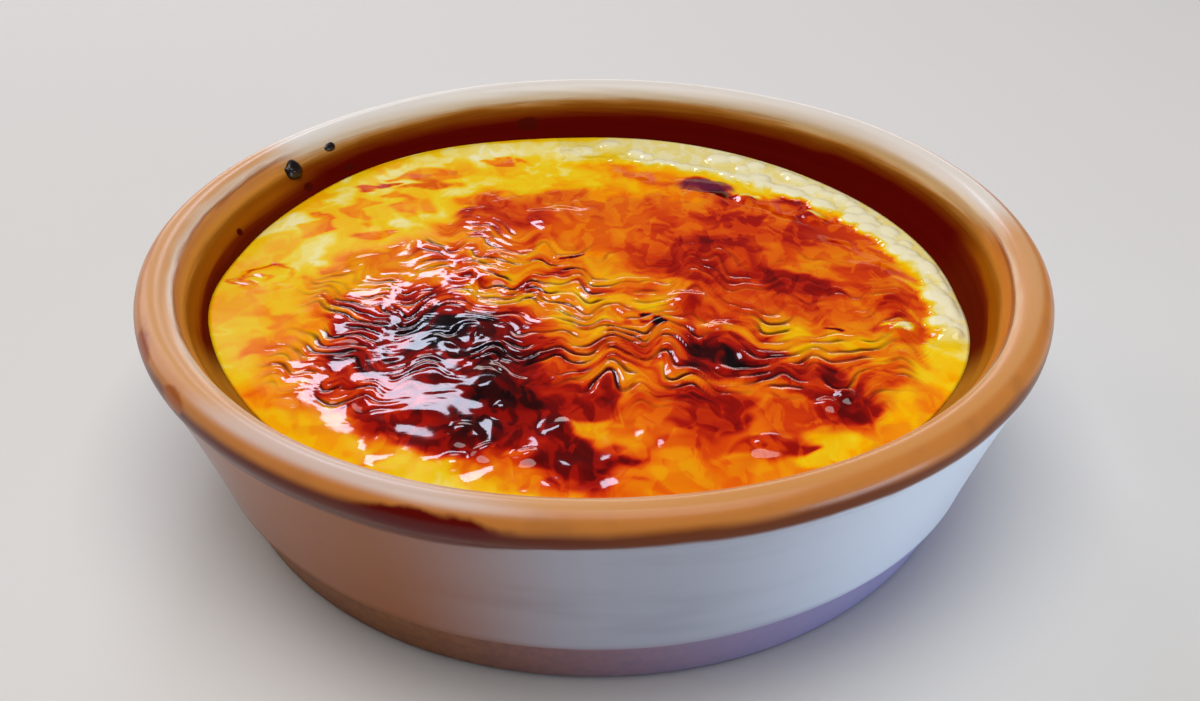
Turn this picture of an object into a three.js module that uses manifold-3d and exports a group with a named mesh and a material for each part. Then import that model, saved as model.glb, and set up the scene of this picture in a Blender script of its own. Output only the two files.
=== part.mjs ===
// A creme brulee in its round stoneware dish: two pieces, the dish and the custard that fills it.
// Millimetres, +Z up. The origin is the middle of the dish's underside, and -Y is the front.
import * as THREE from "three";
import { mergeVertices } from "three/addons/utils/BufferGeometryUtils.js";
import Module from "manifold-3d";

const wasm = await Module();
wasm.setup();

// ---- Dish: driving dimensions ----
const RIM_RADIUS = 65; // outermost, at the middle of the lip
const DISH_HEIGHT = 33.6;
const LIP_RADIUS = 2.8; // the lip is round, and this is half its thickness
const LIP_UNDERCUT = 0.6; // how far the wall stands back below the lip
const LIP_END = 158; // degrees round the lip's section where it turns into the flare
const LIP_BLEND_HEIGHT = 27.8; // the flare is straight below this height
const BASE_RADIUS = 55.4;
const BASE_CHAMFER = 0.8;
const FOOT_HEIGHT = 8; // the bare clay band below the glaze
const FOOT_TOP_RADIUS = 57.9;
const GLAZE_STEP = 0.6; // how far the glazed wall stands out over the foot
const GLAZE_ROUNDING = 0.8; // of that step's edge
const WALL_HOLLOW = 0.35; // how far the outer wall bends in between foot and lip
const FLOOR_THICKNESS = 7;
const FLOOR_ROUNDING = 7; // between the inner wall and the floor
const FLARE = 0.75; // radius the inner wall gains for each millimetre of height under the lip
const KNEE_HEIGHT = 22.4; // below it the inner wall stands almost upright
const KNEE_ROUNDING = 1.4;
const WALL_LEAN = 0.08; // radius gained for each millimetre of height below the knee
const AROUND = 72; // facets round the dish

// ---- Custard: driving dimensions ----
const FILL_HEIGHT = 24.75; // the surface at the middle
const FILL_RADIUS = 55.7; // the flared wall where the left edge of the surface meets it
const FILL_EDGE_HEIGHT = 25.6;
const LEVEL_SLOPE_X = -0.018; // the custard set a little out of level
const LEVEL_SLOPE_Y = -0.002;
const GAP = 0.3; // between the custard and the dish
const EDGE_DROP = 0.2; // the skin sinks where it meets the wall
const EDGE_WIDTH = 2.5;

// Where the custard's edge stands up the wall or sinks: bearing and half width in degrees, height.
const EDGE_SWELLS = [
  { bearing: 75, spread: 40, height: 0.35 },
  { bearing: 127, spread: 36, height: 0.65 },
  { bearing: -167, spread: 22, height: 0.75 },
  { bearing: -28, spread: 26, height: 1.6 },
  { bearing: -134, spread: 20, height: -0.4 },
];
const EDGE_SWELL_WIDTH = 7;

// ---- Crust relief ----
const SWELL = 0.45; // long, low waves
const SWELL_LENGTH = 17;
const SUGAR_THICKNESS = 0.45; // the caramel lies on the custard as a thin sheet
const WRINKLE_HEIGHT = 0.5;
const WRINKLE_LENGTH = 8.5; // along X
const WRINKLE_PITCH = 3.6; // along Y
const WRINKLE_WARP = 3.2; // how far the wrinkles wander
const GRID_X = 3; // spacing of the relief's vertices
const GRID_Y = 1;

// Where the skin has cooked into wrinkles: middle, half widths, strength.
const WRINKLED = [
  { x: -25, y: -14, rx: 25, ry: 22, strength: 1 },
  { x: 16, y: -21, rx: 30, ry: 14, strength: 0.9 },
  { x: -12, y: 12, rx: 18, ry: 15, strength: 0.6 },
  { x: 24, y: 4, rx: 22, ry: 12, strength: 0.45 },
];

// The caramel sheet: everything but the margins at the back and the left.
const SUGAR = { x: 3, y: -7, rx: 45, ry: 44, edge: 0.12 };

// Blisters raised by the flame. A hollow one is a ring with a sunken middle.
const BLISTERS = [
  { x: -15, y: 3, r: 7.5, height: 1, hollow: 0.5 },
  { x: -50, y: -1, r: 4.2, height: 0.6, hollow: 0.7 },
  { x: -5, y: 20, r: 6.5, height: 0.6, hollow: 0.2 },
  { x: 44.5, y: -13, r: 2.4, height: 1, hollow: 0 },
  { x: 50, y: -15.5, r: 2.2, height: 0.9, hollow: 0 },
  { x: -12.8, y: -43.2, r: 2.3, height: 0.5, hollow: 0 },
  { x: -8, y: -44, r: 2.2, height: 0.55, hollow: 0 },
  { x: -16.2, y: -40, r: 2.6, height: 0.5, hollow: 0 },
  { x: -16.5, y: -45, r: 2, height: 0.4, hollow: 0 },
  { x: -11.3, y: -34.8, r: 2, height: 0.4, hollow: 0 },
  { x: -12.5, y: -29.5, r: 6, height: 0.7, hollow: 0 },
  { x: -4, y: -38, r: 2.4, height: 0.35, hollow: 0 },
  { x: 36.8, y: 22.6, r: 3, height: 0.8, hollow: 0 },
  { x: 25.5, y: 29, r: 2.6, height: 0.8, hollow: 0 },
  { x: 22, y: -41.5, r: 3.2, height: 0.5, hollow: 0.3 },
  { x: 30, y: -32.3, r: 2, height: 0.7, hollow: 0 },
  { x: 32.8, y: -30.4, r: 1.9, height: 0.7, hollow: 0 },
  { x: 17.5, y: -13.8, r: 2, height: 0.5, hollow: 0 },
  { x: 13.5, y: -6, r: 3.2, height: 0.7, hollow: 0 },
];

// Burnt sugar that spat on the flare: bearing in degrees from +X, height above the table, size.
const SPATTER = [
  { bearing: 150.8, height: 29.8, length: 3.8, width: 3.4 },
  { bearing: 141.8, height: 30.6, length: 2.7, width: 2 },
  { bearing: 175, height: 32, length: 0.9, width: 0.8 },
];
const BEAD_THICKNESS = 0.65; // as a share of a bead's width

// ---- Noise ----
function lattice(i, j, seed) {
  const s = Math.sin(i * 127.1 + j * 311.7 + seed * 74.7) * 43758.5453;
  return 2 * (s - Math.floor(s)) - 1;
}

const ease = (t) => t * t * (3 - 2 * t);

// Smooth noise from -1 to 1, with one bump for each unit of x and y.
function noise(x, y, seed) {
  const i = Math.floor(x);
  const j = Math.floor(y);
  const s = ease(x - i);
  const t = ease(y - j);
  const near = lattice(i, j, seed) * (1 - s) + lattice(i + 1, j, seed) * s;
  const far = lattice(i, j + 1, seed) * (1 - s) + lattice(i + 1, j + 1, seed) * s;
  return near * (1 - t) + far * t;
}

const clamp01 = (t) => Math.min(1, Math.max(0, t));

// ---- Crust ----
// Distance from a zone's middle in half widths.
const reach = (zone, x, y) => Math.hypot((x - zone.x) / zone.rx, (y - zone.y) / zone.ry);

function wrinkles(x, y) {
  const strength = WRINKLED.reduce(
    (most, zone) => Math.max(most, zone.strength * ease(clamp01(1.9 - 1.3 * reach(zone, x, y)))),
    0,
  );
  const u = (x + WRINKLE_WARP * noise(x / 11, y / 9, 11)) / WRINKLE_LENGTH;
  const v = (y + WRINKLE_WARP * noise(x / 9, y / 8, 12)) / WRINKLE_PITCH;
  const ridge = 1 - 2.4 * Math.abs(noise(u, v, 13));
  return WRINKLE_HEIGHT * strength * ridge;
}

function sugarSheet(x, y) {
  const ragged = 0.07 * noise(x / 4, y / 4, 21) + 0.05 * noise(x / 9, y / 9, 22);
  return SUGAR_THICKNESS * ease(clamp01((1 - reach(SUGAR, x, y) + ragged) / SUGAR.edge));
}

function blister(b, x, y) {
  const d = Math.hypot(x - b.x, y - b.y) / b.r;
  if (d >= 1) return 0;
  const dome = (1 - d * d) ** 1.5;
  const pit = b.hollow * Math.exp(-((d / 0.42) ** 2));
  return b.height * (dome - pit);
}

// How far the custard's edge stands above its level, or below it.
function edgeSwell(x, y) {
  const nearWall = ease(clamp01(1 - (FILL_RADIUS - Math.hypot(x, y)) / EDGE_SWELL_WIDTH));
  const bearing = THREE.MathUtils.radToDeg(Math.atan2(y, x));
  const lift = EDGE_SWELLS.reduce((sum, swell) => {
    const away = Math.abs(((bearing - swell.bearing + 540) % 360) - 180);
    return sum + swell.height * ease(clamp01(1 - away / swell.spread));
  }, 0);
  return lift * nearWall;
}

function crustHeight(x, y) {
  const level = FILL_HEIGHT + LEVEL_SLOPE_X * x + LEVEL_SLOPE_Y * y;
  const swell = SWELL * noise(x / SWELL_LENGTH, y / SWELL_LENGTH, 31);
  const fromWall = clamp01((FILL_RADIUS - Math.hypot(x, y)) / EDGE_WIDTH);
  const drop = EDGE_DROP * (1 - ease(fromWall));
  const raised = BLISTERS.reduce((sum, b) => sum + blister(b, x, y), 0);
  return level + swell * ease(fromWall) + wrinkles(x, y) + sugarSheet(x, y) + raised + edgeSwell(x, y) - drop;
}

// ---- Solids ----
function solidOf(geometry) {
  const bare = geometry.clone();
  bare.deleteAttribute("normal");
  bare.deleteAttribute("uv");
  const closed = mergeVertices(bare, 1e-4);
  const mesh = new wasm.Mesh({
    numProp: 3,
    vertProperties: closed.attributes.position.array,
    triVerts: new Uint32Array(closed.index.array),
  });
  return new wasm.Manifold(mesh);
}

function geometryOf(solid) {
  const { vertProperties, triVerts } = solid.getMesh();
  const geometry = new THREE.BufferGeometry();
  geometry.setAttribute("position", new THREE.BufferAttribute(vertProperties, 3));
  geometry.setIndex(new THREE.BufferAttribute(triVerts, 1));
  geometry.computeVertexNormals();
  return geometry;
}

// Turns an outline of radius and height round the Z axis.
function revolve(points) {
  return new THREE.LatheGeometry(points, AROUND).rotateX(Math.PI / 2);
}

// The flared part of the inner wall.
const flareRadius = (z) => FILL_RADIUS + FLARE * (z - FILL_EDGE_HEIGHT);

// The cavity's outline, from the middle of the floor up to the given height on the flare.
function cavityOutline(gap, topHeight) {
  const wallRadius = (z) => flareRadius(KNEE_HEIGHT) + WALL_LEAN * (z - KNEE_HEIGHT) - gap;
  const slopeRadius = (z) => flareRadius(z) - gap * Math.hypot(1, FLARE);
  const floor = FLOOR_THICKNESS + gap;
  const cornerTop = floor + FLOOR_ROUNDING;
  const kneeBottom = KNEE_HEIGHT - KNEE_ROUNDING;
  const kneeTop = KNEE_HEIGHT + KNEE_ROUNDING;
  const outline = new THREE.Path();
  outline.moveTo(0, floor);
  outline.lineTo(wallRadius(floor) - FLOOR_ROUNDING, floor);
  outline.quadraticCurveTo(wallRadius(floor), floor, wallRadius(cornerTop), cornerTop);
  outline.lineTo(wallRadius(kneeBottom), kneeBottom);
  outline.quadraticCurveTo(wallRadius(KNEE_HEIGHT), KNEE_HEIGHT, slopeRadius(kneeTop), kneeTop);
  outline.lineTo(slopeRadius(topHeight), topHeight);
  return outline;
}

// ---- Dish ----
const lipCentre = new THREE.Vector2(RIM_RADIUS - LIP_RADIUS, DISH_HEIGHT - LIP_RADIUS);

function dishBody() {
  const glazeRadius = FOOT_TOP_RADIUS + GLAZE_STEP;
  const glazeBottom = FOOT_HEIGHT + GLAZE_ROUNDING;
  const wallRadius = RIM_RADIUS - LIP_UNDERCUT;
  const wallTop = lipCentre.y - LIP_RADIUS * 0.55;
  const middleRadius = (glazeRadius + wallRadius) / 2 - WALL_HOLLOW;
  const lipStart = THREE.MathUtils.degToRad(-20);
  const lipEnd = THREE.MathUtils.degToRad(LIP_END);

  const outer = new THREE.Path();
  outer.moveTo(0, 0);
  outer.lineTo(BASE_RADIUS - BASE_CHAMFER, 0);
  outer.lineTo(BASE_RADIUS, BASE_CHAMFER);
  outer.lineTo(FOOT_TOP_RADIUS, FOOT_HEIGHT);
  outer.lineTo(glazeRadius - GLAZE_ROUNDING / 2, FOOT_HEIGHT + GLAZE_ROUNDING / 4);
  outer.lineTo(glazeRadius, glazeBottom);
  outer.quadraticCurveTo(middleRadius, (glazeBottom + wallTop) / 2, wallRadius, wallTop);
  outer.absarc(lipCentre.x, lipCentre.y, LIP_RADIUS, lipStart, lipEnd, false);
  // the lip rolls over inside and hollows into the flare, meeting it where the two tangents cross
  const rolled = outer.currentPoint.clone();
  const cross = rolled.y - (flareRadius(rolled.y) - rolled.x) / (FLARE + Math.tan(lipEnd));
  outer.quadraticCurveTo(flareRadius(cross), cross, flareRadius(LIP_BLEND_HEIGHT), LIP_BLEND_HEIGHT);

  const cavity = cavityOutline(0, KNEE_HEIGHT + 2 * KNEE_ROUNDING);
  return solidOf(revolve([...outer.getPoints(5), ...cavity.getPoints(3).reverse()]));
}

// A bead of burnt sugar, long round the rim, lying half sunk along the flare.
function spatterBead({ bearing, height, length, width }) {
  const bead = new THREE.SphereGeometry(0.5, 10, 6);
  bead.scale(BEAD_THICKNESS * width, length, width);
  bead.rotateY(Math.atan(FLARE));
  bead.translate(flareRadius(height), 0, height);
  bead.rotateZ(THREE.MathUtils.degToRad(bearing));
  return solidOf(bead);
}

function dish() {
  return SPATTER.reduce((whole, bead) => whole.add(spatterBead(bead)), dishBody());
}

// ---- Custard ----
// A block whose top is the crust, wider than the dish.
function crustBlock() {
  const width = 2 * (FILL_RADIUS + 2);
  const block = new THREE.BoxGeometry(
    width,
    width,
    FILL_HEIGHT,
    Math.round(width / GRID_X),
    Math.round(width / GRID_Y),
    1,
  );
  const position = block.getAttribute("position");
  for (let i = 0; i < position.count; i++) {
    const top = position.getZ(i) > 0;
    position.setZ(i, top ? crustHeight(position.getX(i), position.getY(i)) : 0);
  }
  return solidOf(block);
}

function custard() {
  const top = DISH_HEIGHT - LIP_RADIUS;
  const plug = cavityOutline(GAP, top);
  plug.lineTo(0, top);
  return solidOf(revolve(plug.getPoints(3))).intersect(crustBlock());
}

// ---- The whole ----
function piece(name, solid, color, roughness) {
  const material = new THREE.MeshStandardMaterial({ color, roughness, metalness: 0 });
  const mesh = new THREE.Mesh(geometryOf(solid), material);
  mesh.name = name;
  return mesh;
}

const cremeBrulee = new THREE.Group();
cremeBrulee.add(piece("dish", dish(), 0xd9d3cc, 0.25));
cremeBrulee.add(piece("custard", custard(), 0xe88a1a, 0.3));

export default cremeBrulee;
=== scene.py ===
"""A creme brulee in its round stoneware dish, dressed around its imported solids."""

import math

import bpy
import numpy as np
from bpy.props import FloatProperty, FloatVectorProperty, IntProperty, PointerProperty
from mathutils import Matrix, Vector


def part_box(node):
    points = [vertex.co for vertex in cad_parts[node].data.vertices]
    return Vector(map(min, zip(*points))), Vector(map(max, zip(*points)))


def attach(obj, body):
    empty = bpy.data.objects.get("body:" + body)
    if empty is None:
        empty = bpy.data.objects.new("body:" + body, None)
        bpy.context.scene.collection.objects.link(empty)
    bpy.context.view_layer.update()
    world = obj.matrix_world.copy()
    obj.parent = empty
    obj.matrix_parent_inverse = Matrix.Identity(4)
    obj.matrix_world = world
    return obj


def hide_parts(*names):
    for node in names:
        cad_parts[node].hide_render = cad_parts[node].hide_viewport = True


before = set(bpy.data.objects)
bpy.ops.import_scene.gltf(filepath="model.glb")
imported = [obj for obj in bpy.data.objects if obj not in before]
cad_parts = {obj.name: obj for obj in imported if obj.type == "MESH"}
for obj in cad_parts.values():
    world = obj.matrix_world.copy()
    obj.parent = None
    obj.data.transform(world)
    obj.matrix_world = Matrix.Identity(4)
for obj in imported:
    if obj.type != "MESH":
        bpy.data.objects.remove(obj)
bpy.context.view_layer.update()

DISH_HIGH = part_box("dish")[1]

bl_info = {
    "name": "Creme Brulee",
    "version": (1, 0, 0),
    "blender": (4, 5, 0),
    "location": "View3D > Sidebar > Dessert",
    "description": "Models a creme brulee in its stoneware dish",
    "category": "Add Mesh",
}

MM = 0.001


# -------- settings
def length(name, description, millimetres):
    return FloatProperty(
        name=name,
        description=description,
        default=millimetres * MM,
        min=0.0,
        precision=5,
        unit="LENGTH",
        subtype="DISTANCE",
    )


def angle(name, description, degrees):
    return FloatProperty(name=name, description=description, default=math.radians(degrees), subtype="ANGLE")


def number(name, description, value):
    return FloatProperty(name=name, description=description, default=value)


def colour(name, description, red, green, blue):
    """A colour given as display values from 0 to 255."""
    return FloatVectorProperty(
        name=name,
        description=description,
        default=shade_of(red, green, blue),
        size=3,
        min=0.0,
        max=1.0,
        subtype="COLOR",
    )


def linear(part):
    part = part / 255.0
    return part / 12.92 if part <= 0.04045 else ((part + 0.055) / 1.055) ** 2.4


def shade_of(red, green, blue):
    return tuple(linear(part) for part in (red, green, blue))


class DishSettings(bpy.types.PropertyGroup):
    rim_radius: length("Rim radius", "Outermost, at the middle of the lip", DISH_HIGH.x / MM)
    height: length("Height", "From the table to the top of the lip", DISH_HIGH.z / MM)
    lip_radius: length("Lip radius", "Half the thickness of the round lip", 2.8)
    lip_undercut: length("Lip undercut", "How far the wall stands back below the lip", 0.6)
    lip_end: angle("Lip end", "Angle round the lip's section where it turns into the flare", 158)
    lip_blend_height: length("Lip blend height", "The flare is straight below this height", 27.8)
    base_radius: length("Base radius", "Where the foot meets the table", 55.4)
    base_rounding: length("Base rounding", "Edge between the foot and the underside", 0.8)
    foot_height: length("Foot height", "The bare clay band below the glaze", 8.0)
    foot_top_radius: length("Foot top radius", "Top of the clay band", 57.9)
    glaze_step: length("Glaze step", "How far the glazed wall stands out over the foot", 0.6)
    glaze_rounding: length("Glaze rounding", "Edge of that step", 0.8)
    wall_hollow: length("Wall hollow", "How far the outer wall bends in", 0.35)
    floor_thickness: length("Floor thickness", "Clay under the custard", 7.0)
    floor_rounding: length("Floor rounding", "Between the inner wall and the floor", 7.0)
    mouth_radius: length("Mouth radius", "Inner wall where the left edge of the custard meets it", 55.7)
    mouth_height: length("Mouth height", "Height of that edge above the table", 25.6)
    flare: number("Flare", "Radius the inner wall gains for each unit of height under the lip", 0.75)
    knee_height: length("Knee height", "Below it the inner wall stands almost upright", 22.4)
    knee_rounding: length("Knee rounding", "Between the flare and the upright wall", 1.4)
    wall_lean: number("Wall lean", "Radius gained for each unit of height below the knee", 0.08)
    around: IntProperty(name="Segments", description="Facets round the dish", default=256, min=32)
    # The glaze is set greyer than the white glaze itself: painted shade for the outer wall, which faces away
    # from the main light
    glaze: colour("Glaze", "Off-white glaze on the outer wall", 178, 178, 190)
    lip: colour("Lip", "Glaze that breaks to tan on the lip", 200, 133, 76)
    # The pale lip at the back is partly pale glaze and partly painted reflection of the light behind
    lip_back_glaze_and_reflection: colour("Pale lip", "The lip's glaze where it lies thick", 230, 222, 213)
    clay: colour("Clay", "Bare clay of the foot", 150, 92, 50)


class CustardSettings(bpy.types.PropertyGroup):
    level: length("Level", "Height of the surface at the middle", 24.75)
    edge_drop: length("Edge drop", "How far the skin sinks where it meets the wall", 0.2)
    gap: length("Gap", "Between the custard and the dish, below the surface", 0.3)
    swell: length("Swell", "Height of the long, low waves", 0.45)
    sugar: length("Sugar", "Thickness of the caramel sheet", 0.45)
    fold_pitch: length("Fold pitch", "Distance between the folds in the skin", 2.3)
    fold_height: length("Fold height", "How far the flat-topped folds stand up", 0.12)
    ridge_height: length("Ridge height", "How far the ridged folds stand up", 0.24)
    crease_depth: length("Crease depth", "How deep the skin is pinched between two folds", 0.18)
    crease_width: length("Crease width", "Half the width of that pinch", 0.48)
    cells_wide: IntProperty(name="Cells wide", description="Faces of the crust along X", default=236, min=20)
    cells_deep: IntProperty(name="Cells deep", description="Faces of the crust along Y", default=384, min=20)


class StageSettings(bpy.types.PropertyGroup):
    distance: length("Camera distance", "From the camera to the point that it looks at", 181.7)
    aim_height: length("Aim height", "Height of that point on the dish's axis", 11.96)
    aim_side: length("Aim side", "How far to the right of the axis it lies", 0.82)
    pitch: angle("Pitch", "How far the camera looks down", 33.1)
    roll: angle("Roll", "How far the camera leans", 0.27)
    lens: number("Lens", "Focal length in millimetres", 34.57)
    floor: colour("Floor", "Plain pale floor", 218, 216, 214)


# -------- noise, in millimetres
def lattice(i, j, seed):
    s = np.sin(i * 127.1 + j * 311.7 + seed * 74.7) * 43758.5453
    return 2.0 * (s - np.floor(s)) - 1.0


def ease(t):
    t = np.clip(t, 0.0, 1.0)
    return t * t * (3.0 - 2.0 * t)


def noise(x, y, seed):
    """Smooth noise from -1 to 1, one bump for each unit of x and y. Each seed has its own pattern."""
    i, j = np.floor(x), np.floor(y)
    s, t = ease(x - i), ease(y - j)
    near = lattice(i, j, seed) * (1 - s) + lattice(i + 1, j, seed) * s
    far = lattice(i, j + 1, seed) * (1 - s) + lattice(i + 1, j + 1, seed) * s
    return near * (1 - t) + far * t


def crisp(value):
    """Pushes noise towards -1 and 1, so that it parts into patches with edges."""
    return 2.0 * ease(0.5 + 1.8 * value) - 1.0


def turned(x, y, degrees):
    """A place's coordinates along and across a line that is turned from the X axis."""
    turn = math.radians(degrees)
    return x * math.cos(turn) + y * math.sin(turn), y * math.cos(turn) - x * math.sin(turn)


def reach(x, y, zone):
    """Distance from a zone's middle, in half widths. A zone is x, y, half width, half depth, turn."""
    middle_x, middle_y, half_width, half_depth, turn = zone
    along, across = turned(x - middle_x, y - middle_y, turn)
    return np.hypot(along / half_width, across / half_depth)


# -------- the crust, in millimetres
LEVEL_SLOPE_X, LEVEL_SLOPE_Y = -0.018, -0.002  # the custard set a little out of level
EDGE_WIDTH = 2.5
SWELL_LENGTH = 17  # of the long, low waves
SHEET = (3, -7, 45, 44, 0)  # the caramel sheet
SHEET_EDGE = 0.16  # how far its edge slopes, in half widths

# Where the custard's edge stands up the wall or sinks: bearing and half width in degrees, height.
EDGE_SWELLS = ((75, 40, 0.35), (127, 36, 0.65), (-167, 22, 0.75), (-28, 26, 1.6), (-134, 20, -0.4))
EDGE_SWELL_WIDTH = 7.0

# Where the skin has cooked into folds: x, y, half width, half depth, turn, strength.
FOLDED = (
    (-27, -15, 14, 17, 0, 1.0),
    (-34, -5, 9, 7, 0, 0.8),
    (-33, -26, 11, 9, -35, 0.9),
    (-8, -9, 20, 18, 0, 1.0),
    (8, -21, 14, 12, 0, 1.0),
    (29, -20, 16, 11, 0, 0.9),
    (-17, 8, 13, 9, 0, 0.8),
    (24, 0, 18, 12, -20, 0.35),
    (-14, 22, 9, 7, 20, 0.25),
    (41, -7, 7, 8, 0, 0.5),
)
FLAT_TOPPED = (-25, -23, 13, 14, -20)  # here the folds are flat on top
CRUMPLED = (-22, -20, 14, 12, -20)  # and here they are crumpled

# Blisters raised by the flame: x, y, radius, height, and how far the middle has sunk.
BLISTERS = (
    (-15, 3, 7.5, 1.0, 0.5),
    (-50, -1, 4.2, 0.6, 0.7),
    (-5, 20, 6.5, 0.6, 0.2),
    (44.5, -13, 2.4, 1.0, 0),
    (50, -15.5, 2.2, 0.9, 0),
    (-12.8, -43.2, 2.3, 0.5, 0),
    (-8, -44, 2.2, 0.55, 0),
    (-16.2, -40, 2.6, 0.5, 0),
    (-16.5, -45, 2.0, 0.4, 0),
    (-11.3, -34.8, 2.0, 0.4, 0),
    (-12.5, -29.5, 6.0, 0.7, 0),
    (-4, -38, 2.4, 0.35, 0),
    (36.8, 22.6, 3, 0.8, 0),
    (25.5, 29, 2.6, 0.8, 0),
    (22, -41.5, 3.2, 0.5, 0.3),
    (30, -32.3, 2.0, 0.7, 0),
    (32.8, -30.4, 1.9, 0.7, 0),
    (17.5, -13.8, 2.0, 0.5, 0),
    (13.5, -6, 3.2, 0.7, 0),
)

# How far each place is toasted, from 0 for plain cream to 1 for black. Later zones lie over earlier ones:
# x, y, half width, half depth, turn, toast, softness of the edge.
TOASTED = (
    (0, 0, 70, 70, 0, 0.18, 0.2),
    # yellow and golden margins
    (-28, 40, 28, 15, 30, 0.17, 0.5),
    (-10, 48, 24, 5, 8, 0.07, 0.6),
    (-52, 2, 7, 30, 0, 0.18, 0.5),
    (-50, -1, 4.6, 4.2, 0, 0.62, 0.2),
    (-50, -1, 3.9, 3.5, 0, 0.26, 0.25),
    (-50.5, -1.5, 2.2, 2.0, 0, 0.50, 0.3),
    (-50.5, -1.5, 1.5, 1.3, 0, 0.24, 0.4),
    (-38, -36, 20, 9, -48, 0.37, 0.5),
    (-49, -16, 5, 14, 0, 0.24, 0.6),
    (-36, 14, 15, 13, 30, 0.13, 0.6),
    (-10, 36, 14, 9, 0, 0.24, 0.5),
    (-26, 20, 7, 11, 15, 0.14, 0.8),
    # the caramel sheet
    (8, -8, 43, 42, 0, 0.47, 0.22),
    (-22, -14, 25, 24, 0, 0.46, 0.4),
    (-38, -9, 10, 13, 0, 0.34, 0.6),
    (8, 26, 26, 14, -20, 0.47, 0.35),
    (3, 41, 5, 8, -10, 0.40, 0.7),
    (10, -45, 26, 7, 0, 0.48, 0.6),
    # golden islands
    (-9, 37, 10, 7, 0, 0.21, 0.6),
    (7, 33, 6, 5, 0, 0.38, 0.7),
    (-25, 24, 5, 7, 15, 0.20, 0.6),
    (-29, 35, 5.5, 4, 10, 0.42, 0.2),
    (-17, 43, 2.4, 2.4, -30, 0.44, 0.3),
    (-39, 31, 2.4, 1.6, 0, 0.62, 0.5),
    (-39, 22, 2.6, 5, 15, 0.33, 0.25),
    (-31, 25, 2.4, 4.5, 30, 0.31, 0.3),
    (-46, 15, 2.0, 5, -20, 0.35, 0.25),
    (-37, 13, 3.5, 2.4, 30, 0.38, 0.4),
    (-5, 4, 9, 4, 0, 0.46, 0.9),
    (-8, -8, 16, 6, -20, 0.42, 0.9),
    (12, -3, 3, 2.4, 0, 0.17, 0.8),
    (10, -8, 4, 4, 0, 0.24, 0.8),
    (33, -17, 13, 5, 10, 0.36, 0.9),
    (30, -41, 6, 3.4, 20, 0.22, 0.6),
    (42, -32, 8, 5, 40, 0.30, 0.8),
    (49, -22, 4, 10, -15, 0.22, 0.7),
    # red caramel
    (29, 19, 13, 10, -40, 0.59, 0.8),
    (7, 22, 6, 8, 0, 0.56, 0.9),
    (-16, 21, 7, 8, 10, 0.61, 0.7),
    (-22, 2, 3, 9, 20, 0.62, 0.7),
    (-9, -1, 2.6, 4, 0, 0.60, 0.8),
    (11, 12, 7, 7, -10, 0.54, 0.8),
    (21, 7, 7, 5, -20, 0.70, 0.7),
    (23, 0, 15, 6.5, -20, 0.68, 0.6),
    (19, -7, 10, 6, 0, 0.61, 0.8),
    (18, 12, 4.5, 2.2, 10, 0.70, 0.7),
    (24, 24, 5, 5, 0, 0.62, 0.9),
    (27, 2, 6, 3, -20, 0.73, 0.7),
    (31.5, -1.5, 4.5, 3.2, -20, 0.71, 0.6),
    (34, 26, 4, 5, -35, 0.68, 0.7),
    (43, 12, 5, 12, 0, 0.58, 0.8),
    (40.5, -3, 4, 6, 0, 0.51, 0.8),
    (46, -6, 4, 3, 20, 0.62, 0.7),
    (45, -13, 4.5, 4, 0, 0.58, 0.6),
    (20, -30, 17, 8, 0, 0.56, 0.9),
    (17, -21, 9, 6, -20, 0.67, 0.6),
    (15.5, -22.5, 5, 4, 0, 0.86, 0.7),
    (15, -34, 4, 5, 0, 0.73, 0.7),
    (30.5, -29, 5.5, 5, -30, 0.70, 0.6),
    (32.5, -32.5, 3.2, 2.8, 0, 0.76, 0.7),
    (22, -41, 4, 2.6, 20, 0.67, 0.7),
    (11, -40.5, 3, 1.8, 0, 0.62, 0.8),
    # the burnt patch, front left
    (-20, -14, 19, 8, -20, 0.64, 0.7),
    (-27.5, -22.5, 10.5, 12, -30, 0.75, 0.5),
    (-9, -28, 9, 21, 30, 0.77, 0.45),
    (-20.5, -38, 9.5, 5, -15, 0.75, 0.6),
    (-7, -38.5, 8, 6, -20, 0.79, 0.6),
    (-19, -20, 10.5, 8.5, -30, 0.86, 0.6),
    (-15, -33, 9, 6, -40, 0.86, 0.5),
    (-2, -43.5, 5.5, 5.5, 10, 0.77, 0.5),
    (-20, -16, 6, 4.5, 0, 0.98, 0.8),
    (-15, -31, 3.5, 5, -30, 0.95, 0.8),
    (0.5, -23, 6, 5.5, 0, 0.51, 0.8),
    (2, -39.5, 4.2, 3.0, 0, 0.30, 0.9),
    (12, -47, 8, 2.5, 0, 0.44, 0.8),
    # purple-black scorch at the back, and small scorched pits
    (20, 34, 5.5, 2.8, -50, 0.82, 0.8),
    (7.5, -11.8, 1.4, 0.7, 0, 0.96, 0.6),
    (34.5, -14, 1.5, 0.8, -20, 0.96, 0.6),
    (-2, 6.5, 1.5, 0.7, 0, 0.90, 0.6),
    # pale drops, partly pale froth and partly painted highlight
    (36.8, 23, 2.4, 1.4, -25, 0.03, 0.6),
    (26, 31.5, 1.8, 1.3, 0, 0.08, 0.6),
    (44.5, -12.6, 2.0, 1.3, 0, 0.05, 0.6),
)

# Pale froth that rose over the caramel's edge, in degrees: its ends, and how far it fades at each.
MARGIN_START, MARGIN_END = -27.0, 112.0
MARGIN_FADE_IN, MARGIN_FADE_OUT = 16, 40
MARGIN_OUTER = 54.5  # radius that its beads keep within
MARGIN_BEADS = 96

# Custard toasted less than this has no caramel on it: at the front, and at the back and left.
BARE_TOAST, BARE_TOAST_BEHIND = 0.34, 0.46


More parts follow.
